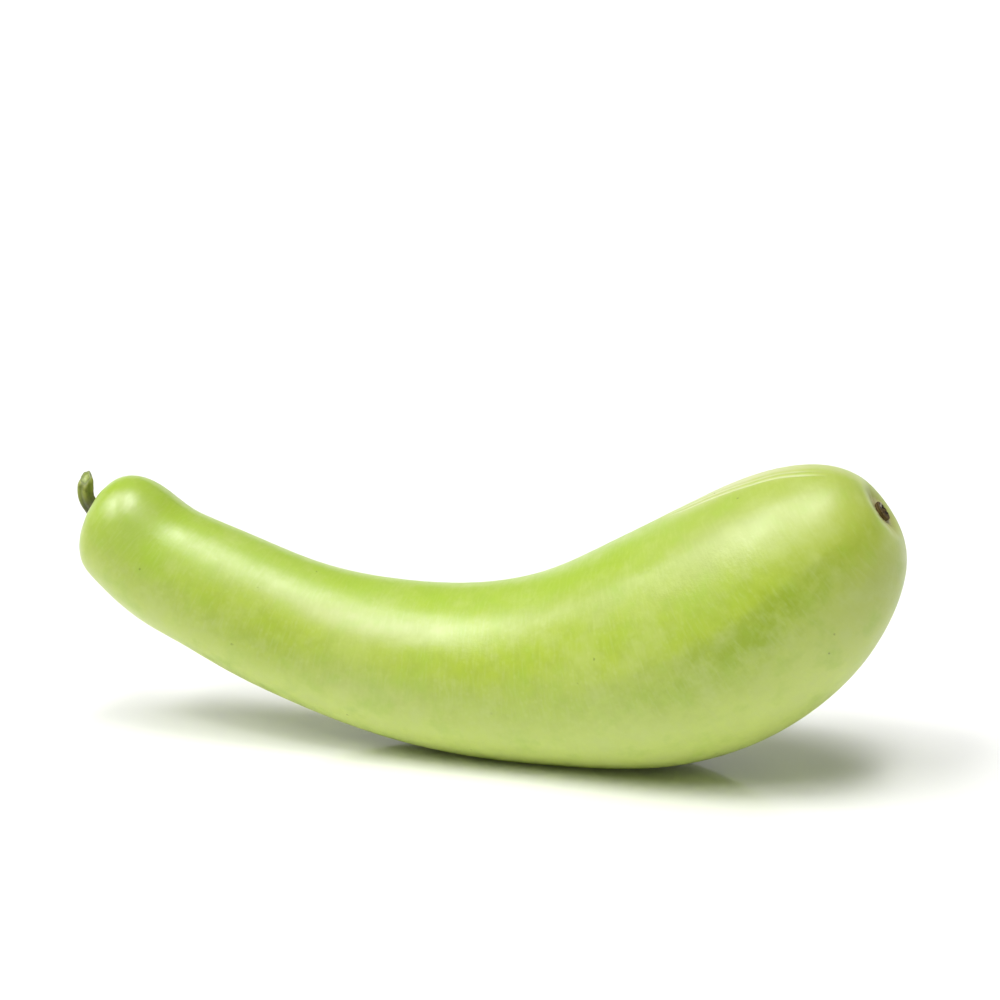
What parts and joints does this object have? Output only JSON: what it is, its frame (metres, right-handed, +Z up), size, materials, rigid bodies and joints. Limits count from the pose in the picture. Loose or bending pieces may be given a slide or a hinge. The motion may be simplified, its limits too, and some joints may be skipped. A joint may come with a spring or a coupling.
{
  "type": "bottle gourd",
  "caption": "Whole bottle gourd lying on its belly: a bent green vegetable with a slimmer neck, a fatter far end, a cut stalk and a blossom scar, for food displays and kitchen scenes.",
  "frame": {"origin": "middle of the small flat spot on which the gourd rests", "axes": "+X along the gourd from the stalk's end to the blossom's end, +Z up, +Y to the back of the gourd"},
  "size_m": [0.3237, 0.0914, 0.1185],
  "materials": {
    "rind": "satin, waxy, with fine down",
    "stalk": "matt, ridged",
    "scar": "dry, corky"
  },
  "bodies": {
    "root": {"fruit": "rind", "stalk": "stalk", "blossom_scar": "scar"}
  },
  "joints": []
}
